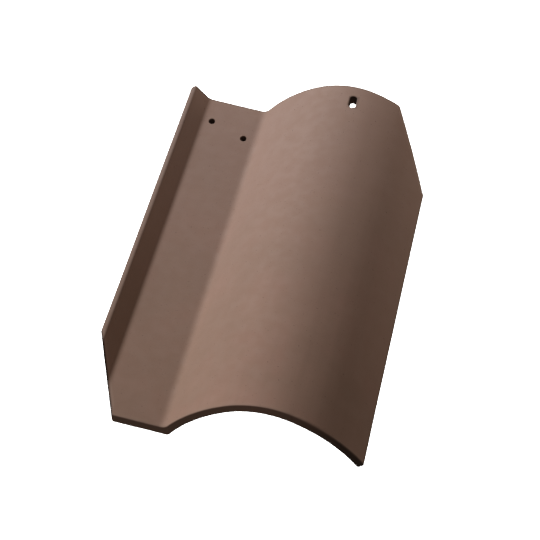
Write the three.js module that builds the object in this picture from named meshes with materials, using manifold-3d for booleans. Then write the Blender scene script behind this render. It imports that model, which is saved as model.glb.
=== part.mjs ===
// Spanish S roof tile: one extruded strip of fired clay, bent up into a lip on the left,
// nearly flat in the pan and arched over in the barrel on the right.
// Millimetres, +Z up. X runs across the tile (lip at -X, barrel at +X) and Y along it
// (exposed front end at -Y, head end at +Y). The tile lies on its underside, on the
// floor at Z = 0, which it touches under the valley and under the barrel's free rim.

import * as THREE from 'three';
import { mergeVertices } from 'three/addons/utils/BufferGeometryUtils.js';
import Module from 'manifold-3d';

const wasm = await Module();
wasm.setup();

const degrees = THREE.MathUtils.degToRad;

// Driving dimensions

const tileLength = 460;
const wall = 8.5;

// Pan: the flat between the lip's bend and the corner where the barrel rises.
const panWidth = 60.9;
const valleyRadius = 9;
const undersideValleyRadius = 3.5;

// Lip: turned up from the pan and left straight.
const lipLength = 20;
const lipAngle = degrees(40);
const lipBendRadius = 9;
const lipTopRadius = 2.5;
const lipFootRadius = 2.5;

// Barrel: an inner flank, a tighter crown and an outer flank, one arc each.
const barrelRiseAngle = degrees(61);
const innerFlankRadius = 146;
const innerFlankSweep = degrees(29);
const crownRadius = 84;
const crownSweep = degrees(45);
const outerFlankRadius = 146;
const outerFlankSweep = degrees(34);
const rimRadius = 2.6;

// Corners cut off so that four tiles meet without stacking: how far each cut goes
// across the tile and along it.
const frontCutAcross = 34.5;
const frontCutAlong = 90;
const headCutAcross = 42.2;
const headCutAlong = 93;

// Two nail holes through the pan, near the head.
const nailHoleDiameter = 7.5;
const lipNailFromBend = 6.9;
const lipNailFromHead = 36.2;
const valleyNailFromValley = 15;
const valleyNailFromHead = 51.5;

// Slot through the crown, near the head.
const slotWidth = 9.6;
const slotLength = 18;
const slotCornerRadius = 4;
const slotFromCrownTop = -2.75;
const slotFromHead = 26;

// Each arc of an outline is drawn in twice this many straight steps.
const arcSteps = 7;
const nailHoleSides = 32;
// Cutting shapes run past the faces that they cut by this much.
const overrun = 20;

const rightAngle = Math.PI / 2;

// The section is drawn in the pan's own axes: the origin is the sharp corner where the
// pan's top would meet the barrel's top, the pan's top lies along -X, and Y is up.
// A heading is the direction of the surface as one walks over the tile to the right.

const alongHeading = (heading) => new THREE.Vector2(Math.cos(heading), Math.sin(heading));
const aboveHeading = (heading) => new THREE.Vector2(-Math.sin(heading), Math.cos(heading));

const crownStart = barrelRiseAngle - innerFlankSweep;
const crownEnd = crownStart - crownSweep;
const rimHeading = crownEnd - outerFlankSweep;

const innerFlankCentre = aboveHeading(barrelRiseAngle).multiplyScalar(-innerFlankRadius);
const crownCentre = innerFlankCentre
  .clone()
  .addScaledVector(aboveHeading(crownStart), innerFlankRadius - crownRadius);
const outerFlankCentre = crownCentre
  .clone()
  .addScaledVector(aboveHeading(crownEnd), crownRadius - outerFlankRadius);

// Centre of the fillet between the pan and the inner flank, on the surface that lies
// this deep below the tile's top.
function valleyCentre(depth, radius) {
  const height = radius - depth;
  const reach = innerFlankRadius - depth + radius;
  const run = Math.sqrt(reach ** 2 - (height - innerFlankCentre.y) ** 2);
  return new THREE.Vector2(innerFlankCentre.x - run, height);
}

const rimFootCentre = outerFlankCentre
  .clone()
  .addScaledVector(aboveHeading(rimHeading), outerFlankRadius - wall + rimRadius);

// Angle by which the section leans over until it stands on its valley and its rim.
function restLean() {
  const valley = valleyCentre(wall, undersideValleyRadius);
  const span = rimFootCentre.clone().sub(valley);
  return span.angle() - Math.asin((rimRadius - undersideValleyRadius) / span.length());
}

// Adds the three barrel arcs of the surface that lies this deep, from the rim to the
// valley over the top, or from the valley to the rim along the underside.
function addBarrel(outline, depth, valleyAngle, towardsRim) {
  const arcs = [
    [outerFlankCentre, outerFlankRadius, rimHeading + rightAngle, crownEnd + rightAngle],
    [crownCentre, crownRadius, crownEnd + rightAngle, crownStart + rightAngle],
    [innerFlankCentre, innerFlankRadius, crownStart + rightAngle, valleyAngle],
  ];
  if (towardsRim) {
    arcs.reverse();
  }
  for (const [centre, radius, rimSide, valleySide] of arcs) {
    const from = towardsRim ? valleySide : rimSide;
    const to = towardsRim ? rimSide : valleySide;
    outline.absarc(centre.x, centre.y, radius - depth, from, to, towardsRim);
  }
}

// The closed section, walked with the clay on the left-hand side.
function section() {
  const outline = new THREE.Shape();
  const topValley = valleyCentre(0, valleyRadius);
  const footValley = valleyCentre(wall, undersideValleyRadius);
  const topContact = innerFlankCentre.clone().sub(topValley).angle();
  const footContact = innerFlankCentre.clone().sub(footValley).angle();
  const straightDown = 3 * rightAngle;
  const lipDown = straightDown - lipAngle;

  addBarrel(outline, 0, topContact - Math.PI, false);
  outline.absarc(topValley.x, topValley.y, valleyRadius, topContact, straightDown, true);
  outline.absarc(-panWidth, lipBendRadius, lipBendRadius, straightDown, lipDown, true);

  // The lip's end is cut square, with its two corners rounded.
  const lipOut = alongHeading(Math.PI - lipAngle);
  const lipIn = alongHeading(lipDown);
  const lipTop = new THREE.Vector2(-panWidth, lipBendRadius)
    .addScaledVector(lipIn, lipBendRadius)
    .addScaledVector(lipOut, lipLength);
  const topCorner = lipTop
    .clone()
    .addScaledVector(lipOut, -lipTopRadius)
    .addScaledVector(lipIn, lipTopRadius);
  const footCorner = lipTop
    .clone()
    .addScaledVector(lipOut, -lipFootRadius)
    .addScaledVector(lipIn, wall - lipFootRadius);
  const lipEnd = lipDown - rightAngle;
  outline.absarc(topCorner.x, topCorner.y, lipTopRadius, lipEnd - rightAngle, lipEnd, false);
  outline.absarc(footCorner.x, footCorner.y, lipFootRadius, lipEnd, lipDown, false);

  outline.absarc(-panWidth, lipBendRadius, lipBendRadius + wall, lipDown, straightDown, false);
  outline.absarc(footValley.x, footValley.y, undersideValleyRadius, straightDown, footContact, false);
  addBarrel(outline, wall, footContact - Math.PI, true);

  // The rim is cut square too, with both corners rounded.
  const rimCrestCentre = outerFlankCentre
    .clone()
    .addScaledVector(aboveHeading(rimHeading), outerFlankRadius - rimRadius);
  outline.absarc(rimFootCentre.x, rimFootCentre.y, rimRadius, rimHeading - rightAngle, rimHeading, false);
  outline.absarc(rimCrestCentre.x, rimCrestCentre.y, rimRadius, rimHeading, rimHeading + rightAngle, false);
  return outline;
}

// Booleans

function toSolid(geometry) {
  const bare = geometry.clone();
  bare.deleteAttribute('normal');
  bare.deleteAttribute('uv');
  const merged = mergeVertices(bare, 1e-4);
  const vertProperties = new Float32Array(merged.attributes.position.array);
  const triVerts = new Uint32Array(merged.index.array);
  return new wasm.Manifold(new wasm.Mesh({ numProp: 3, vertProperties, triVerts }));
}

function toGeometry(solid) {
  const { vertProperties, triVerts } = solid.getMesh();
  const geometry = new THREE.BufferGeometry();
  geometry.setAttribute('position', new THREE.BufferAttribute(vertProperties, 3));
  geometry.setIndex(new THREE.BufferAttribute(triVerts, 1));
  geometry.computeVertexNormals();
  return geometry;
}

// A prism that stands upright through the whole tile.
function uprightPrism(outline, height) {
  const options = { depth: height + 2 * overrun, bevelEnabled: false, curveSegments: arcSteps };
  return new THREE.ExtrudeGeometry(outline, options).translate(0, 0, -overrun);
}

// The clay taken off at one corner of the tile's plan, in a straight upright cut.
function cornerCut(corner, across, along, height) {
  const acrossEnd = new THREE.Vector2(corner.x + across, corner.y);
  const alongEnd = new THREE.Vector2(corner.x, corner.y + along);
  const cutLine = alongEnd.clone().sub(acrossEnd).normalize();
  const outside = new THREE.Vector2(-Math.sign(across), -Math.sign(along));
  const outline = new THREE.Shape([
    acrossEnd.addScaledVector(cutLine, -overrun),
    corner.clone().addScaledVector(outside, overrun),
    alongEnd.addScaledVector(cutLine, overrun),
  ]);
  return uprightPrism(outline, height);
}

function nailHole(x, y, height) {
  const radius = nailHoleDiameter / 2;
  const shank = new THREE.CylinderGeometry(radius, radius, height + 2 * overrun, nailHoleSides);
  return shank.rotateX(rightAngle).translate(x, y, height / 2);
}

function crownSlot(x, y, height) {
  const outline = new THREE.Shape();
  const halfWidth = slotWidth / 2 - slotCornerRadius;
  const halfLength = slotLength / 2 - slotCornerRadius;
  const corners = [
    [1, 1],
    [-1, 1],
    [-1, -1],
    [1, -1],
  ];
  corners.forEach(([sideX, sideY], turn) => {
    const start = turn * rightAngle;
    const centreX = x + sideX * halfWidth;
    const centreY = y + sideY * halfLength;
    outline.absarc(centreX, centreY, slotCornerRadius, start, start + rightAngle, false);
  });
  return uprightPrism(outline, height);
}

// The whole strip, leaned over to its resting place and centred over the origin.
const lean = restLean();
const strip = new THREE.ExtrudeGeometry(section(), {
  depth: tileLength,
  bevelEnabled: false,
  curveSegments: arcSteps,
});
strip.rotateX(rightAngle).rotateY(lean);
strip.computeBoundingBox();
const middle = strip.boundingBox.getCenter(new THREE.Vector3());
strip.translate(-middle.x, -middle.y, -strip.boundingBox.min.z);
strip.computeBoundingBox();
const { min, max } = strip.boundingBox;

// Where a point of the section, in the pan's axes, lies across the leaned tile.
const acrossTile = (x, y) => x * Math.cos(lean) + y * Math.sin(lean) - middle.x;

const bendX = acrossTile(-panWidth, 0);
const valleyX = acrossTile(0, 0);
const crownTopX = acrossTile(crownCentre.x, crownCentre.y + crownRadius);

const cuts = [
  cornerCut(new THREE.Vector2(min.x, min.y), frontCutAcross, frontCutAlong, max.z),
  cornerCut(new THREE.Vector2(max.x, max.y), -headCutAcross, -headCutAlong, max.z),
  nailHole(bendX + lipNailFromBend, max.y - lipNailFromHead, max.z),
  nailHole(valleyX - valleyNailFromValley, max.y - valleyNailFromHead, max.z),
  crownSlot(crownTopX + slotFromCrownTop, max.y - slotFromHead, max.z),
];

const tileSolid = cuts.reduce((clay, cut) => clay.subtract(toSolid(cut)), toSolid(strip));

const firedClay = new THREE.MeshStandardMaterial({
  color: 0x8f7565,
  roughness: 0.88,
  metalness: 0,
});

const roofTile = new THREE.Mesh(toGeometry(tileSolid), firedClay);
roofTile.name = 'roof_tile';

const tile = new THREE.Group();
tile.add(roofTile);

export default tile;
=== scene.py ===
"""Spanish S roof tile: a strip of extruded clay, bent up into a lip on the left, nearly flat
in the pan and arched over in the barrel on the right, fired without a glaze.

Metres, +Z up. X runs across the tile and Y along it, with the exposed front end at -Y.
"""

import math

import bmesh
import bpy
from bpy.props import FloatProperty, FloatVectorProperty, PointerProperty
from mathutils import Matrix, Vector


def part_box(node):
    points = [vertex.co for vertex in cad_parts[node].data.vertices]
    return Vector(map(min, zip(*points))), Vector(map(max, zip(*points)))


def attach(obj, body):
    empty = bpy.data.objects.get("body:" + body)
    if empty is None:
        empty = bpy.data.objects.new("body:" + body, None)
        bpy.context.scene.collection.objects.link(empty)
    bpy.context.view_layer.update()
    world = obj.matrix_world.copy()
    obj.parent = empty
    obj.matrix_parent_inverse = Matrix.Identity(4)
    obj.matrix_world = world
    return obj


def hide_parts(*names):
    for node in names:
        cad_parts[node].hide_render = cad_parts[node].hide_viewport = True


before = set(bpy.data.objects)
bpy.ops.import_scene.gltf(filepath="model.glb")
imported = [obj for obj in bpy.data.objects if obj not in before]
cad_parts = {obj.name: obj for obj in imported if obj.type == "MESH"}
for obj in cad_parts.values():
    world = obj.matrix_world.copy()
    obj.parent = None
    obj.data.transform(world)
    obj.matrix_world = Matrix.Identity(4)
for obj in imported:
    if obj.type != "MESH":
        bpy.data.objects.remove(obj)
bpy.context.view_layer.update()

bl_info = {
    "name": "Spanish S roof tile",
    "version": (1, 0, 0),
    "blender": (4, 5, 0),
    "location": "3D View > Sidebar > Roof Tile",
    "description": "Models an extruded clay roof tile and a plain studio to show it in",
    "category": "Add Mesh",
}

TILE_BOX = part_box("roof_tile")
MM = 0.001
RIGHT_ANGLE = math.pi / 2


def linear(hex_colour):
    """Turns an sRGB hex colour to the linear values that the shaders take."""
    channels = [int(hex_colour[i : i + 2], 16) / 255 for i in (1, 3, 5)]
    return [c / 12.92 if c <= 0.04045 else ((c + 0.055) / 1.055) ** 2.4 for c in channels]


def length(name, description, default):
    """A length that a user can change, in metres."""
    return FloatProperty(
        name=name, description=description, default=default, min=0.0, precision=4, unit="LENGTH"
    )


def angle(name, description, degrees):
    """An angle that a user can change, given here in degrees."""
    return FloatProperty(
        name=name, description=description, default=math.radians(degrees), subtype="ANGLE"
    )


def colour(name, description, hex_colour):
    """A colour that a user can change."""
    return FloatVectorProperty(
        name=name,
        description=description,
        default=linear(hex_colour),
        size=3,
        min=0.0,
        max=1.0,
        subtype="COLOR",
    )


class TileSizes(bpy.types.PropertyGroup):
    """Sizes of the tile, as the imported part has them. Only the holes differ a little."""

    tile_length: length("Length", "Tile from front end to head", TILE_BOX[1].y - TILE_BOX[0].y)
    wall: length("Wall", "Thickness of the clay", 8.5 * MM)
    pan_width: length("Pan width", "Flat from the lip's bend to the valley", 60.9 * MM)
    valley_radius: length("Valley radius", "Fillet in the valley, on top", 9 * MM)
    valley_foot_radius: length("Valley foot radius", "Corner under the valley", 3.5 * MM)
    lip_length: length("Lip length", "Straight of the lip, past its bend", 20 * MM)
    lip_angle: angle("Lip angle", "Turn of the lip up from the pan", 40)
    lip_bend_radius: length("Lip bend radius", "Bend between pan and lip, on top", 9 * MM)
    lip_top_radius: length("Lip top radius", "Top corner of the lip's end", 2.5 * MM)
    lip_foot_radius: length("Lip foot radius", "Lower corner of the lip's end", 2.5 * MM)
    barrel_rise: angle("Barrel rise", "Steepness of the barrel where it leaves the pan", 61)
    inner_flank_radius: length("Inner flank radius", "Barrel's flank next to the pan", 146 * MM)
    inner_flank_sweep: angle("Inner flank sweep", "Turn of the inner flank", 29)
    crown_radius: length("Crown radius", "Top of the barrel", 84 * MM)
    crown_sweep: angle("Crown sweep", "Turn of the crown", 45)
    outer_flank_radius: length("Outer flank radius", "Barrel's free flank", 146 * MM)
    outer_flank_sweep: angle("Outer flank sweep", "Turn of the outer flank", 34)
    rim_radius: length("Rim radius", "Both corners of the barrel's free rim", 2.6 * MM)
    front_cut_across: length("Front cut across", "Corner cut at the lip, across", 34.5 * MM)
    front_cut_along: length("Front cut along", "Corner cut at the lip, along", 90 * MM)
    head_cut_across: length("Head cut across", "Corner cut at the rim, across", 42.2 * MM)
    head_cut_along: length("Head cut along", "Corner cut at the rim, along", 93 * MM)
    nail_hole: length("Nail hole", "Width of the nail holes, across the tile", 6.8 * MM)
    nail_hole_long: length("Nail hole length", "Nail holes along the tile", 8 * MM)
    lip_nail_from_bend: length("Lip nail from bend", "Nail hole from the lip's bend", 6.9 * MM)
    lip_nail_from_head: length("Lip nail from head", "Nail hole from the head end", 36.2 * MM)
    valley_nail_from_valley: length("Valley nail from valley", "Nail hole from it", 15 * MM)
    valley_nail_from_head: length("Valley nail from head", "Nail hole from the end", 51.5 * MM)
    slot_width: length("Slot width", "Slot in the crown, across", 8.2 * MM)
    slot_length: length("Slot length", "Slot in the crown, along", 18 * MM)
    slot_corner: length("Slot corner", "Corner radius of the slot", 4 * MM)
    slot_left_of_crown: length("Slot left of crown", "Slot from the crown's top", 2.75 * MM)
    slot_from_head: length("Slot from head", "Middle of the slot from the head end", 26 * MM)
    arris: length("Arris", "Rounding of the cut ends' edges", 2.3 * MM)
    grid: length("Grid", "Spacing of the mesh across the tile", 2.1 * MM)


class ClayColours(bpy.types.PropertyGroup):
    """Colours of the fired clay."""

    body: colour("Body", "Fired clay", "#907262")
    deep: colour("Deep", "Darker patches of the firing", "#886D5D")
    warm: colour("Warm", "Redder patches of the firing", "#957062")
    # This colour is a greyer tone, mixed in more towards the head.
    grey_tint: colour("Bloom", "Grey bloom, which thickens towards the head", "#8F7569")
    rubbed: colour("Rubbed", "Arrises rubbed pale by handling", "#A28A7D")
    # This colour is painted shade, laid on the cut ends and corners, the lip's end and the rim's
    # edge.
    cut: colour("Cut", "Skin smeared dark by the wire and the knife", "#2E231D")
    # This colour is painted shade: it blackens the walls deep in the holes.
    hole_shade: colour("Bore", "Depth of the holes", "#140C08")
    iron: colour("Iron", "Iron specks in the clay", "#6A5347")
    floor: colour("Floor", "Studio floor", "#F4F4F3")


# The section


def along(heading):
    return Vector((math.cos(heading), math.sin(heading)))


def above(heading):
    return Vector((-math.sin(heading), math.cos(heading)))


def bearing(vector):
    return math.atan2(vector.y, vector.x) % (2 * math.pi)


class Section:
    """Centres and turns of the section, drawn in the pan's own axes: the origin is the sharp
    corner where the pan's top would meet the barrel's top, the pan lies along -X, Y is up."""

    def __init__(self, sizes):
        s = sizes
        self.sizes = s
        self.crown_start = s.barrel_rise - s.inner_flank_sweep
        self.crown_end = self.crown_start - s.crown_sweep
        self.rim_heading = self.crown_end - s.outer_flank_sweep
        self.inner = -s.inner_flank_radius * above(s.barrel_rise)
        self.crown = self.inner + (s.inner_flank_radius - s.crown_radius) * above(self.crown_start)
        self.outer = self.crown + (s.crown_radius - s.outer_flank_radius) * above(self.crown_end)
        rim_up = above(self.rim_heading)
        self.rim_foot = self.outer + (s.outer_flank_radius - s.wall + s.rim_radius) * rim_up
        self.rim_crest = self.outer + (s.outer_flank_radius - s.rim_radius) * rim_up
        self.valley = self.valley_centre(0, s.valley_radius)
        self.valley_foot = self.valley_centre(s.wall, s.valley_foot_radius)
        self.bend = Vector((-s.pan_width, s.lip_bend_radius))
        self.lip_out = along(math.pi - s.lip_angle)
        self.lip_in = along(3 * RIGHT_ANGLE - s.lip_angle)
        lip_end = self.bend + s.lip_bend_radius * self.lip_in + s.lip_length * self.lip_out
        self.lip_top = lip_end + s.lip_top_radius * (self.lip_in - self.lip_out)
        self.lip_foot = (
            lip_end
            - s.lip_foot_radius * self.lip_out
            + (s.wall - s.lip_foot_radius) * self.lip_in
        )
        # The section leans over until it stands on its valley foot and its rim foot.
        span = self.rim_foot - self.valley_foot
        drop = (s.rim_radius - s.valley_foot_radius) / span.length
        self.lean = bearing(span) - math.asin(drop)
        self.middle = 0.0
        self.floor = 0.0
        right = self.on_tile(self.rim_crest).x + s.rim_radius
        left = self.on_tile(self.lip_foot).x - s.lip_foot_radius
        self.middle = (left + right) / 2
        self.floor = self.on_tile(self.valley_foot).z - s.valley_foot_radius
        self.front_cut_x = left - self.middle + s.front_cut_across
        self.head_cut_x = right - self.middle - s.head_cut_across

    def valley_centre(self, depth, radius):
        """Centre of the valley's fillet on the surface that lies this deep."""
        height = radius - depth
        reach = self.sizes.inner_flank_radius - depth + radius
        run = math.sqrt(reach**2 - (height - self.inner.y) ** 2)
        return Vector((self.inner.x - run, height))

    def turned(self, vector):
        """A direction of the section, once it leans, in the tile's frame."""
        c, s = math.cos(self.lean), math.sin(self.lean)
        return Vector((vector.x * c + vector.y * s, 0, vector.y * c - vector.x * s))

    def on_tile(self, point):
        """A point of the section, once it leans and is centred, in the tile's frame."""
        return self.turned(point) - Vector((self.middle, 0, self.floor))

    def ends(self, x):
        """Where the clay starts and stops along the tile, this far across it."""
        s = self.sizes
        front_slope = s.front_cut_along / s.front_cut_across
        head_slope = s.head_cut_along / s.head_cut_across
        front = -s.tile_length / 2 + max(0.0, self.front_cut_x - x) * front_slope
        head = s.tile_length / 2 - max(0.0, x - self.head_cut_x) * head_slope
        return front, head


# Helpers for work in edit mode


def deselect_all():
    bpy.ops.object.select_all(action="DESELECT")


def edit(obj):
    """Goes into edit mode on this object alone, with nothing in it selected."""
    deselect_all()
    obj.select_set(True)
    bpy.context.view_layer.objects.active = obj
    bpy.ops.object.mode_set(mode="EDIT")
    bpy.ops.mesh.select_all(action="DESELECT")


def leave_edit():
    bpy.ops.object.mode_set(mode="OBJECT")


def select_vertices(obj, test):
    """Selects the vertices that pass a test of their place, and what they span."""
    bpy.ops.mesh.select_mode(type="VERT")
    bpy.ops.mesh.select_all(action="DESELECT")
    mesh = bmesh.from_edit_mesh(obj.data)
    for vertex in mesh.verts:
        vertex.select_set(test(vertex.co))
    mesh.select_flush_mode()
    bmesh.update_edit_mesh(obj.data)


def select_edges(obj, test):
    """Selects the edges that pass a test."""
    bpy.ops.mesh.select_mode(type="EDGE")
    bpy.ops.mesh.select_all(action="DESELECT")
    mesh = bmesh.from_edit_mesh(obj.data)
    for edge in mesh.edges:
        edge.select_set(test(edge))
    bmesh.update_edit_mesh(obj.data)


def apply_modifier(obj, kind, **settings):
    """Adds a modifier with its settings and applies it."""
    deselect_all()
    obj.select_set(True)
    bpy.context.view_layer.objects.active = obj
    modifier = obj.modifiers.new(kind.title(), kind)
    for name, value in settings.items():
        setattr(modifier, name, value)
    bpy.ops.object.modifier_apply(modifier=modifier.name)


# The strip of clay


class Strip:
    """Draws the strip round its section, one row along the tile after another."""

    def __init__(self, obj, section):
        self.obj = obj
        self.section = section

    def trim(self):
        """Brings both ends of the selected row to where the clay stops there."""
        mesh = bmesh.from_edit_mesh(self.obj.data)
        row = sorted((v.co.copy() for v in mesh.verts if v.select), key=lambda co: co.y)
        front, head = self.section.ends(row[0].x)
        scale = (head - front) / (row[-1].y - row[0].y)
        if abs(scale - 1) > 1e-9:
            centre = (front - scale * row[0].y) / (1 - scale)
            bpy.ops.transform.resize(value=(1, scale, 1), center_override=(0, centre, 0))

    def turn(self, centre, radius, turn):
        """Carries the row round a centre of the section, to the left for a positive turn."""
        steps = max(4, round(abs(turn) * radius / self.section.sizes.grid))
        middle = self.section.on_tile(centre)
        for _ in range(steps):
            bpy.ops.mesh.spin(steps=1, angle=turn / steps, center=middle, axis=(0, 1, 0))
            self.trim()

    def push(self, direction, distance):
        """Carries the row straight on."""
        steps = max(1, round(distance / self.section.sizes.grid))
        move = self.section.turned(direction) * (distance / steps)
        for _ in range(steps):
            bpy.ops.mesh.extrude_edges_move(TRANSFORM_OT_translate={"value": move})
            self.trim()


def sweep_to(section, centre, radius, x, start):
    """Turn that takes a point on this arc from a start angle to a place across the tile."""
    reach = (x - section.on_tile(centre).x) / radius
    return math.acos(reach) + section.lean - start


def draw_strip(obj, section):
    s = section.sizes
    strip = Strip(obj, section)
    down = 3 * RIGHT_ANGLE
    lip_down = down - s.lip_angle
    rim = section.rim_heading + RIGHT_ANGLE
    crown_end = section.crown_end + RIGHT_ANGLE
    crown_start = section.crown_start + RIGHT_ANGLE
    to_valley = bearing(section.inner - section.valley)
    to_foot = bearing(section.inner - section.valley_foot)

    # Over the top, from the rim to the lip. A row runs through each cut corner.
    radius = s.outer_flank_radius
    first = sweep_to(section, section.outer, radius, section.head_cut_x, rim)
    strip.turn(section.rim_crest, s.rim_radius, RIGHT_ANGLE)
    strip.turn(section.outer, radius, first)
    strip.turn(section.outer, radius, s.outer_flank_sweep - first)
    strip.turn(section.crown, s.crown_radius, s.crown_sweep)
    strip.turn(section.inner, s.inner_flank_radius, to_valley - math.pi - crown_start)
    strip.turn(section.valley, s.valley_radius, down - to_valley)
    corner = (section.front_cut_x + section.middle) / math.cos(section.lean)
    strip.push(Vector((-1, 0)), section.valley.x - corner)
    strip.push(Vector((-1, 0)), corner + s.pan_width)
    strip.turn(section.bend, s.lip_bend_radius, -s.lip_angle)
    strip.push(section.lip_out, s.lip_length - s.lip_top_radius)
    strip.turn(section.lip_top, s.lip_top_radius, RIGHT_ANGLE)

    # Round the lip's end and back along the underside.
    strip.push(section.lip_in, s.wall - s.lip_top_radius - s.lip_foot_radius)
    strip.turn(section.lip_foot, s.lip_foot_radius, RIGHT_ANGLE)
    strip.push(-section.lip_out, s.lip_length - s.lip_foot_radius)
    strip.turn(section.bend, s.lip_bend_radius + s.wall, s.lip_angle)
    corner += s.wall * math.tan(section.lean)
    strip.push(Vector((1, 0)), corner + s.pan_width)
    strip.push(Vector((1, 0)), section.valley_foot.x - corner)
    strip.turn(section.valley_foot, s.valley_foot_radius, (to_foot - down) % (2 * math.pi))
    radius = s.inner_flank_radius - s.wall
    strip.turn(section.inner, radius, crown_start - (to_foot - math.pi))
    strip.turn(section.crown, s.crown_radius - s.wall, -s.crown_sweep)
    radius = s.outer_flank_radius - s.wall
    last = sweep_to(section, section.outer, radius, section.head_cut_x, rim)
    strip.turn(section.outer, radius, last - s.outer_flank_sweep)
    strip.turn(section.outer, radius, -last)
    strip.turn(section.rim_foot, s.rim_radius, RIGHT_ANGLE)


def start_at_rim(section):
    """Adds the flat of the barrel's free rim, as a plane at its size and place."""
    s = section.sizes
    foot = section.on_tile(section.rim_foot + s.rim_radius * along(section.rim_heading))
    crest = section.on_tile(section.rim_crest + s.rim_radius * along(section.rim_heading))
    deselect_all()
    bpy.ops.mesh.primitive_plane_add(size=1, location=(foot + crest) / 2)
    obj = bpy.context.active_object
    across = crest - foot
    obj.scale = (across.length, s.tile_length, 1)
    obj.rotation_euler.y = -math.atan2(across.z, across.x)
    bpy.ops.object.transform_apply(location=True, rotation=True, scale=True)
    return obj


def close_ends(obj, section):
    """Fills both ends of the strip, each in two faces that meet at its cut corner."""
    corners = ((-1, section.front_cut_x), (1, section.head_cut_x))
    for side, corner in corners:
        select_vertices(obj, lambda co: co.y * side > 0 and abs(co.x - corner) < 0.02 * MM)
        bpy.ops.mesh.edge_face_add()
        for hand in (-1, 1):
            select_vertices(
                obj, lambda co: co.y * side > 0 and (co.x - corner) * hand > -0.02 * MM
            )
            bpy.ops.mesh.edge_face_add()


def form_strip(section):
    obj = start_at_rim(section)
    edit(obj)
    strip = Strip(obj, section)
    middle = section.on_tile((section.rim_foot + section.rim_crest) / 2).x
    rim_face = section.turned(along(section.rim_heading)).x * section.sizes.rim_radius
    for hand in (-1, 1):
        select_vertices(obj, lambda co: (co.x - middle - rim_face) * hand > 0)
        strip.trim()
    draw_strip(obj, section)
    bpy.ops.mesh.select_all(action="SELECT")
    bpy.ops.mesh.remove_doubles(threshold=0.01 * MM)
    close_ends(obj, section)
    bpy.ops.mesh.select_all(action="SELECT")
    bpy.ops.mesh.normals_make_consistent(inside=False)
    leave_edit()
    return obj


def soften_arrises(obj, section):
    """Rounds the edges that the cutting wire left, and the cut corners."""
    edit(obj)
    bpy.ops.mesh.select_mode(type="EDGE")
    bpy.ops.mesh.edges_select_sharp(sharpness=math.radians(35))
    bpy.ops.mesh.bevel(
        offset=section.sizes.arris, segments=5, profile=0.5, clamp_overlap=False
    )
    bpy.ops.mesh.select_all(action="SELECT")
    bpy.ops.mesh.remove_doubles(threshold=0.02 * MM)
    leave_edit()


def divide_rows(obj):
    """Divides the long rows, so that the surface can be worked."""
    edit(obj)
    for shortest, cuts in ((100 * MM, 13), (15 * MM, 14)):
        select_edges(obj, lambda edge: edge.calc_length() > shortest)
        bpy.ops.mesh.subdivide(number_cuts=cuts)
    leave_edit()


# Holes


# How far a hole's edges flare and its walls lean in, across and along the tile.
NAIL_FLARE = (0.3 * MM, 0.8 * MM)
NAIL_LEAN_IN = (0.2 * MM, 1.6 * MM)
SLOT_FLARE = (0.65 * MM, 0.6 * MM)
SLOT_LEAN_IN = (1.1 * MM, 2.6 * MM)


class Hole:
    """A hole's place on the top of the tile, the lean of the clay there, half its width and
    length, how far its edges flare, and how far its walls lean in on the way down."""

    def __init__(self, point, tilt, half, wall, flare, lean_in):
        self.point = point
        self.tilt = tilt
        self.half = half
        self.depth = wall / math.cos(tilt)
        self.flare = flare
        self.lean_in = lean_in

    def opening(self):
        """Half width and length of the outline that the plug starts from."""
        return [h + f for h, f in zip(self.half, self.flare)]

    def below(self, co):
        """How far inside the wall a point lies that is in the hole, and 0 away from it."""
        off = co - self.point
        wide, long = self.opening()
        if abs(off.x) > wide + 0.6 * MM or abs(off.y) > long + 0.6 * MM:
            return 0.0
        sunk = -off.x * math.tan(self.tilt) - off.z
        return max(0.0, min(sunk, self.depth - sunk))

    def stations(self):
        """Depths on the way down, each with half the width and length there."""
        deep = max(self.flare)
        curve = [math.radians(a) for a in (0, 25, 50, 90)]
        rim = [(deep * (1 - math.cos(a)), 1 - math.sin(a)) for a in curve]
        steps = [(-3 * MM, 1)] + rim
        steps += [(self.depth - sunk, wide) for sunk, wide in reversed(rim)]
        steps.append((self.depth + 3 * MM, 1))
        for sunk, wide in steps:
            gone = max(0, min(1, sunk / self.depth))
            shares = zip(self.half, self.flare, self.lean_in)
            yield sunk, [h + f * wide - lean * gone for h, f, lean in shares]

    def sink(self, plug):
        """Makes the flat outline under way into a plug that reaches through the wall."""
        edit(plug)
        bpy.ops.mesh.select_all(action="SELECT")
        bpy.ops.transform.translate(value=(0, 0, 3 * MM))
        stations = list(self.stations())
        for (was, before), (sunk, after) in zip(stations, stations[1:]):
            move = {"value": (0, 0, was - sunk)}
            bpy.ops.mesh.extrude_region_move(TRANSFORM_OT_translate=move)
            across, along_it = (new / old for new, old in zip(after, before))
            bpy.ops.transform.resize(
                value=(across, along_it, across),
                center_override=self.point - Vector((0, 0, sunk)),
            )
        bpy.ops.mesh.select_all(action="SELECT")
        bpy.ops.mesh.normals_make_consistent(inside=False)
        leave_edit()


def nail_hole(section, x, y):
    """A nail hole, which stands upright through the leaning pan."""
    s = section.sizes
    point = section.on_tile(Vector(((x + section.middle) / math.cos(section.lean), 0)))
    point.y = y
    half = (s.nail_hole / 2, s.nail_hole_long / 2)
    return Hole(point, section.lean, half, s.wall, NAIL_FLARE, NAIL_LEAN_IN)


def crown_slot(section):
    """The slot in the crown, whose walls lean in towards the underside."""
    s = section.sizes
    centre = section.on_tile(section.crown)
    x = section.on_tile(section.crown + Vector((0, s.crown_radius))).x - s.slot_left_of_crown
    tilt = math.asin((x - centre.x) / s.crown_radius)
    y = s.tile_length / 2 - s.slot_from_head
    point = Vector((x, y, centre.z + s.crown_radius * math.cos(tilt)))
    half = (s.slot_width / 2, s.slot_length / 2)
    return Hole(point, tilt, half, s.wall, SLOT_FLARE, SLOT_LEAN_IN)


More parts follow.
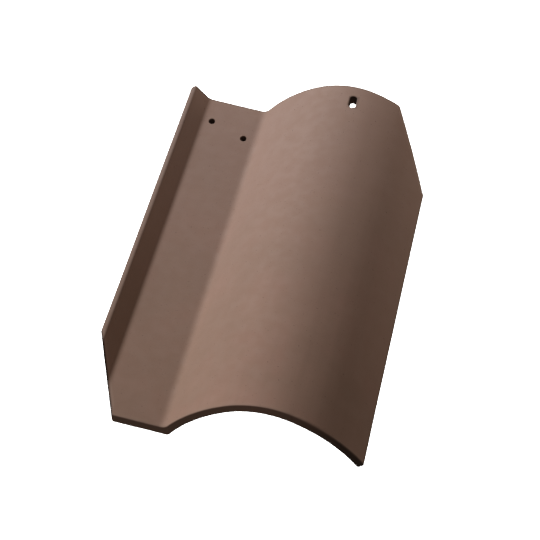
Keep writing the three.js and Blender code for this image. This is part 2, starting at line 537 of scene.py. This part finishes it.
def nail_plug(hole):
    """The clay that leaves a nail hole."""
    bpy.ops.mesh.primitive_circle_add(vertices=40, radius=1, fill_type="NGON", location=hole.point)
    plug = bpy.context.active_object
    plug.scale = (*hole.opening(), 1)
    plug.rotation_euler.y = hole.tilt
    bpy.ops.object.transform_apply(location=True, rotation=True, scale=True)
    hole.sink(plug)
    return plug


def slot_plug(hole, corner):
    """The clay that leaves the slot."""
    bpy.ops.mesh.primitive_plane_add(size=2, location=hole.point)
    plug = bpy.context.active_object
    plug.scale = (*hole.opening(), 1)
    plug.rotation_euler.y = hole.tilt
    bpy.ops.object.transform_apply(location=True, rotation=True, scale=True)
    edit(plug)
    bpy.ops.mesh.select_all(action="SELECT")
    bpy.ops.mesh.bevel(affect="VERTICES", offset=corner + hole.flare[0], segments=6)
    leave_edit()
    hole.sink(plug)
    return plug


def holes(section):
    """The two nail holes and the slot."""
    s = section.sizes
    bend_x = section.on_tile(Vector((-s.pan_width, 0))).x
    valley_x = section.on_tile(Vector((0, 0))).x
    head = s.tile_length / 2
    return (
        nail_hole(section, bend_x + s.lip_nail_from_bend, head - s.lip_nail_from_head),
        nail_hole(section, valley_x - s.valley_nail_from_valley, head - s.valley_nail_from_head),
        crown_slot(section),
    )


def open_holes(tile, section):
    """Takes the nail holes and the slot out of the tile."""
    lip_nail, valley_nail, slot = holes(section)
    deselect_all()
    plugs = [
        nail_plug(lip_nail),
        nail_plug(valley_nail),
        slot_plug(slot, section.sizes.slot_corner),
    ]
    for plug in plugs:
        apply_modifier(tile, "BOOLEAN", operation="DIFFERENCE", solver="MANIFOLD", object=plug)
        bpy.data.objects.remove(plug)


# Working of the surface


def press(tile, pattern, size, depth, stretch=(1, 1, 1), group=""):
    """Moves the surface in and out by a cloud pattern of this size, stretched if asked."""
    texture = bpy.data.textures.new("press", pattern)
    texture.noise_scale = size
    guide = bpy.data.objects.new("guide", None)
    bpy.context.collection.objects.link(guide)
    guide.scale = stretch
    bpy.context.view_layer.update()
    apply_modifier(
        tile,
        "DISPLACE",
        texture=texture,
        texture_coords="OBJECT",
        texture_coords_object=guide,
        strength=depth,
        mid_level=0.5,
        vertex_group=group,
    )
    bpy.data.objects.remove(guide)
    bpy.data.textures.remove(texture)


def end_distance(section, co):
    """How far inside the nearest end or cut corner a point lies, along the tile."""
    front, head = section.ends(co.x)
    return min(co.y - front, head - co.y)


def work_surface(tile, section):
    """Gives the smooth strip the unevenness of extruded, dried and handled clay."""
    weights = tile.vertex_groups.new(name="arris")
    for index, vertex in enumerate(tile.data.vertices):
        inside = end_distance(section, vertex.co)
        if inside < 3.4 * MM:
            weights.add([index], min(1.0, 1.6 - inside / (2.1 * MM)), "REPLACE")
    press(tile, "CLOUDS", 140 * MM, 0.5 * MM)
    press(tile, "CLOUDS", 35 * MM, 0.08 * MM)
    press(tile, "CLOUDS", 9 * MM, 0.06 * MM, stretch=(1, 40, 1))
    press(tile, "CLOUDS", 6 * MM, 0.02 * MM)
    press(tile, "CLOUDS", 5 * MM, 0.35 * MM, group="arris")


def fit_to_frame(tile):
    """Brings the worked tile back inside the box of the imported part."""
    corners = [Vector(c) for c in tile.bound_box]
    low = Vector(min(c[i] for c in corners) for i in range(3))
    high = Vector(max(c[i] for c in corners) for i in range(3))
    wanted_low, wanted_high = TILE_BOX
    edit(tile)
    bpy.ops.mesh.select_all(action="SELECT")
    bpy.ops.transform.translate(value=(wanted_low + wanted_high - low - high) / 2)
    ratio = [(wanted_high[i] - wanted_low[i] - 0.02 * MM) / (high[i] - low[i]) for i in range(3)]
    bpy.ops.transform.resize(value=ratio, center_override=(wanted_low + wanted_high) / 2)
    leave_edit()


# Materials


def add_node(tree, kind, inputs, **settings):
    """Adds a node with its settings, and sets or links its inputs by name or number."""
    node = tree.nodes.new(kind)
    for name, value in settings.items():
        setattr(node, name, value)
    for name, value in inputs.items():
        if isinstance(value, bpy.types.NodeSocket):
            tree.links.new(value, node.inputs[name])
        else:
            node.inputs[name].default_value = value
    return node


def new_tree(material):
    """Empties a material's or the world's nodes."""
    material.use_nodes = True
    material.node_tree.nodes.clear()
    return material.node_tree


def mix_colours(tree, share, first, second):
    """Mixes two colours by a share."""
    node = add_node(tree, "ShaderNodeMix", {"Factor": share}, data_type="RGBA")
    for socket, value in (("A_Color", first), ("B_Color", second)):
        target = next(i for i in node.inputs if i.identifier == socket)
        if isinstance(value, bpy.types.NodeSocket):
            tree.links.new(value, target)
        else:
            target.default_value = (*value, 1)
    return next(o for o in node.outputs if o.identifier == "Result_Color")


def fired_clay(colours):
    """Fired clay, extruded and left without a glaze: a dry, matt brown body."""
    material = bpy.data.materials.new("fired_clay_extruded")
    tree = new_tree(material)
    place = add_node(tree, "ShaderNodeTexCoord", {}).outputs["Object"]

    def noise(size, detail=3.0, roughness=0.5, stretch=None):
        where = place
        if stretch:
            where = add_node(tree, "ShaderNodeMapping", {"Vector": place, "Scale": stretch})
            where = where.outputs["Vector"]
        inputs = {"Vector": where, "Scale": 1 / size, "Detail": detail, "Roughness": roughness}
        return add_node(tree, "ShaderNodeTexNoise", inputs).outputs["Fac"]

    def ramp(value, low, high, bottom=0.0, top=1.0):
        inputs = {"Value": value, "From Min": low, "From Max": high}
        inputs.update({"To Min": bottom, "To Max": top})
        node = add_node(tree, "ShaderNodeMapRange", inputs, interpolation_type="SMOOTHSTEP")
        return node.outputs["Result"]

    body = mix_colours(tree, ramp(noise(90 * MM), 0.3, 0.7), colours.deep, colours.body)
    body = mix_colours(tree, ramp(noise(60 * MM), 0.4, 0.8, 0, 0.5), body, colours.warm)
    streaks = ramp(noise(7 * MM, stretch=(1, 0.03, 1)), 0.3, 0.7, 0, 0.3)
    body = mix_colours(tree, streaks, body, colours.deep)

    # The clay is tinted greyer towards the head.
    down = add_node(tree, "ShaderNodeSeparateXYZ", {"Vector": place}).outputs["Y"]
    cloudy = add_node(
        tree,
        "ShaderNodeMath",
        {0: ramp(down, -230 * MM, 230 * MM), 1: ramp(noise(30 * MM), 0.3, 0.7, 0.8, 1.0)},
        operation="MULTIPLY",
    )
    body = mix_colours(tree, cloudy.outputs[0], body, colours.grey_tint)

    # Iron specks of about 0.4 mm, drawn twice as coarse and faint, so that they just show.
    specks = ramp(noise(1.8 * MM, detail=1.0), 0.72, 0.78, 0, 0.7)
    body = mix_colours(tree, specks, body, colours.iron)
    # The cut and hole colours below are painted shade; the rubbed colour is wear on the arrises.
    for note, skin in (("rubbed", colours.rubbed), ("cut", colours.cut), ("hole_shade", colours.hole_shade)):
        share = add_node(tree, "ShaderNodeAttribute", {}, attribute_name=note).outputs["Fac"]
        body = mix_colours(tree, share, body, skin)

    # Grit of about 0.5 mm, drawn at 1.1 mm so that it shows, over a softer unevenness.
    grit = noise(1.1 * MM, detail=2.0, roughness=0.6)
    soft = noise(9 * MM)
    lines = noise(2.2 * MM, stretch=(1, 0.02, 1))
    bump = add_node(
        tree,
        "ShaderNodeBump",
        {"Height": grit, "Strength": 0.25, "Distance": 0.1 * MM},
    )
    bump = add_node(
        tree,
        "ShaderNodeBump",
        {"Height": soft, "Strength": 0.15, "Distance": 0.12 * MM, "Normal": bump.outputs[0]},
    )
    bump = add_node(
        tree,
        "ShaderNodeBump",
        {"Height": lines, "Strength": 0.3, "Distance": 0.06 * MM, "Normal": bump.outputs[0]},
    )
    shader = add_node(
        tree,
        "ShaderNodeBsdfPrincipled",
        {
            "Base Color": body,
            "Roughness": ramp(noise(12 * MM), 0.3, 0.7, 0.82, 0.92),
            "IOR": 1.5,
            "Specular IOR Level": 0.2,
            "Normal": bump.outputs[0],
        },
    )
    add_node(tree, "ShaderNodeOutputMaterial", {"Surface": shader.outputs[0]})
    return material


def fade(distance, reach, start=1.0):
    """Falls from a start to nothing over a reach, kept between 0 and 1."""
    return max(0.0, min(1.0, start - distance / reach))


def end_finish(section, co):
    """How far a point near its nearest end or corner cut is darkened with painted shade, and how
    far it is rubbed pale.
    """
    s = section.sizes
    cut_slope = math.sin(math.atan2(s.front_cut_across, s.front_cut_along))
    front, head = section.ends(co.x)
    if head - co.y < co.y - front:
        inside = head - co.y
        if co.x > section.head_cut_x:
            return 0.0, 0.5 * fade(inside * cut_slope, 4 * MM)
        return 0.85 * fade(inside, 2.6 * MM, 1.3), 0.0
    inside = co.y - front
    # The front end's painted shade gets heavier towards the free rim.
    cut_shade = max(0.0, min(0.8, (co.x - 50 * MM) / (80 * MM)))
    if co.x < section.front_cut_x:
        inside *= cut_slope
        cut_shade = 1.0
    rubbed = max(0.0, 0.3 - abs(inside - 3 * MM) / (6 * MM))
    return cut_shade * fade(inside, 1.8 * MM, 1.3), rubbed


def mark_finish(tile, section):
    """Notes on the mesh, for the material, how far each point is rubbed pale, darkened with
    painted shade at a cut, at the lip's end and along the rim's edge, and how deep it lies in a
    hole, where painted shade blackens it."""
    s = section.sizes
    opened = holes(section)
    lip_out = section.turned(section.lip_out)
    lip_end = section.on_tile(section.lip_foot).dot(lip_out) + s.lip_foot_radius
    rim_out = section.turned(along(section.rim_heading))
    rim_end = section.on_tile(section.rim_crest).dot(rim_out) + s.rim_radius
    notes = {"rubbed": [], "cut": [], "hole_shade": []}
    for vertex in tile.data.vertices:
        co = vertex.co
        cut_shade, rubbed = end_finish(section, co)
        # Painted shade on the lip's end and along the rim's edge.
        lip_end_shade = 0.45 * fade(lip_end - co.dot(lip_out), 3 * MM)
        rim_edge_shade = 0.9 * fade(rim_end - co.dot(rim_out), 2.2 * MM, 1.4)
        notes["cut"].append(max(cut_shade, lip_end_shade, rim_edge_shade))
        notes["rubbed"].append(rubbed)
        # Painted shade: points deep in a hole are blackened.
        notes["hole_shade"].append(min(1.0, max(hole.below(co) for hole in opened) / MM))
    for name, values in notes.items():
        tile.data.attributes.new(name, "FLOAT", "POINT").data.foreach_set("value", values)


class ROOFTILE_OT_clay_tile(bpy.types.Operator):
    """Forms the clay tile: draws the strip, cuts it, opens its holes and fires it"""

    bl_idname = "rooftile.clay_tile"
    bl_label = "Clay Tile"

    def execute(self, context):
        section = Section(context.scene.rooftile_sizes)
        tile = form_strip(section)
        tile.name = tile.data.name = "clay_tile"
        soften_arrises(tile, section)
        divide_rows(tile)
        open_holes(tile, section)
        work_surface(tile, section)
        fit_to_frame(tile)
        mark_finish(tile, section)
        bpy.ops.object.shade_smooth_by_angle(angle=math.radians(50))
        tile.data.materials.clear()
        tile.data.materials.append(fired_clay(context.scene.rooftile_colours))
        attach(tile, "root")
        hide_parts("roof_tile")
        return {"FINISHED"}


# Studio


def add_light(name, place, aim, size, power, colour_of_it=(1, 1, 1)):
    """Adds a large soft light that looks at a point."""
    data = bpy.data.lights.new(name, "AREA")
    data.shape = "DISK"
    data.size = size
    data.energy = power
    data.color = colour_of_it
    light = bpy.data.objects.new(name, data)
    bpy.context.collection.objects.link(light)
    light.location = place
    light.rotation_euler = (Vector(aim) - Vector(place)).to_track_quat("-Z", "Y").to_euler()
    light.visible_camera = False
    return light


def only_lights(light, obj):
    """Lets a light fall on this object alone."""
    lit = bpy.data.collections.new(f"lit by {light.name}")
    lit.objects.link(obj)
    light.light_linking.receiver_collection = lit


def passes(light, obj):
    """Lets a light pass by all but this object."""
    blocking = bpy.data.collections.new(f"blocks {light.name}")
    blocking.objects.link(obj)
    light.light_linking.blocker_collection = blocking


def lay_floor(colours):
    deselect_all()
    bpy.ops.mesh.primitive_plane_add(size=4)
    floor = bpy.context.active_object
    floor.name = "studio_floor"
    material = bpy.data.materials.new("painted_floor")
    tree = new_tree(material)
    shader = add_node(
        tree,
        "ShaderNodeBsdfPrincipled",
        {"Base Color": (*colours.floor, 1), "Roughness": 0.9, "Specular IOR Level": 0.0},
    )
    add_node(tree, "ShaderNodeOutputMaterial", {"Surface": shader.outputs[0]})
    floor.data.materials.append(material)
    # The tile isn't lit from below by the floor, so that its cut ends stay dark.
    floor.visible_diffuse = False
    floor.visible_glossy = False
    return floor


# The light that comes back from the right is warmed by the clay's own colour.
WARM = (1.0, 0.90, 0.80)


def hang_backdrop():
    """The world: white to the camera, and a dim even light to everything else."""
    world = bpy.data.worlds.new("studio")
    bpy.context.scene.world = world
    tree = new_tree(world)
    seen = add_node(tree, "ShaderNodeLightPath", {}).outputs["Is Camera Ray"]
    dim = add_node(tree, "ShaderNodeBackground", {"Color": (1, 0.95, 0.9, 1), "Strength": 0.13})
    white = add_node(tree, "ShaderNodeBackground", {"Color": (1, 1, 1, 1), "Strength": 1.0})
    both = add_node(
        tree, "ShaderNodeMixShader", {0: seen, 1: dim.outputs[0], 2: white.outputs[0]}
    )
    add_node(tree, "ShaderNodeOutputWorld", {"Surface": both.outputs[0]})


class ROOFTILE_OT_studio(bpy.types.Operator):
    """Lays the floor and sets up the lights and the camera"""

    bl_idname = "rooftile.studio"
    bl_label = "Studio"

    def execute(self, context):
        tile = bpy.data.objects["clay_tile"]
        context.scene.view_settings.view_transform = "Standard"
        floor = lay_floor(context.scene.rooftile_colours)
        hang_backdrop()
        key = add_light("key", (-4.0, 6.95, 2.9), (0, 0, 0.03), 0.9, 1300)
        low_fill = add_light("low fill", (0.778, 0.449, 0.05), (0, 0, 0.03), 0.4, 1.15, WARM)
        head_fill = add_light("head fill", (0.423, 0.732, 0.308), (0, 0, 0.03), 0.4, 1.4, WARM)
        for light in (key, low_fill, head_fill):
            only_lights(light, tile)
        # The photograph shows no shadow of the lip in the pan, so the clay doesn't block the key.
        passes(key, floor)
        passes(low_fill, tile)
        passes(head_fill, tile)
        # The floor is washed white past the tile, and a weaker light gives the soft shadow.
        wash = add_light("wash", (0, 0, 2.2), (0, 0, 0), 4.0, 260)
        only_lights(wash, floor)
        passes(wash, floor)
        shade = add_light("shade", (-0.4, 0.4, 2.2), (0, 0, 0), 2.0, 15)
        only_lights(shade, floor)
        data = bpy.data.cameras.new("camera")
        data.sensor_width = 36
        data.lens = 120.5
        data.clip_end = 20
        camera = bpy.data.objects.new("camera", data)
        context.collection.objects.link(camera)
        camera.location = (0.26476, -1.24759, 1.32699)
        camera.rotation_euler = (math.radians(90 - 46.115), 0, math.radians(11.9713))
        context.scene.camera = camera
        return {"FINISHED"}


class ROOFTILE_PT_panel(bpy.types.Panel):
    """Lists the tile, its sizes and its colours"""

    bl_idname = "ROOFTILE_PT_panel"
    bl_label = "Spanish S Roof Tile"
    bl_space_type = "VIEW_3D"
    bl_region_type = "UI"
    bl_category = "Roof Tile"

    def draw(self, context):
        layout = self.layout
        layout.operator(ROOFTILE_OT_clay_tile.bl_idname)
        layout.operator(ROOFTILE_OT_studio.bl_idname)
        for group in (context.scene.rooftile_sizes, context.scene.rooftile_colours):
            column = layout.box().column()
            for name in group.__annotations__:
                column.prop(group, name)


CLASSES = (
    TileSizes,
    ClayColours,
    ROOFTILE_OT_clay_tile,
    ROOFTILE_OT_studio,
    ROOFTILE_PT_panel,
)


def register():
    for cls in CLASSES:
        bpy.utils.register_class(cls)
    bpy.types.Scene.rooftile_sizes = PointerProperty(type=TileSizes)
    bpy.types.Scene.rooftile_colours = PointerProperty(type=ClayColours)


def unregister():
    del bpy.types.Scene.rooftile_colours
    del bpy.types.Scene.rooftile_sizes
    for cls in reversed(CLASSES):
        bpy.utils.unregister_class(cls)


def main():
    register()
    bpy.ops.rooftile.clay_tile()
    bpy.ops.rooftile.studio()


if __name__ == "__main__":
    main()
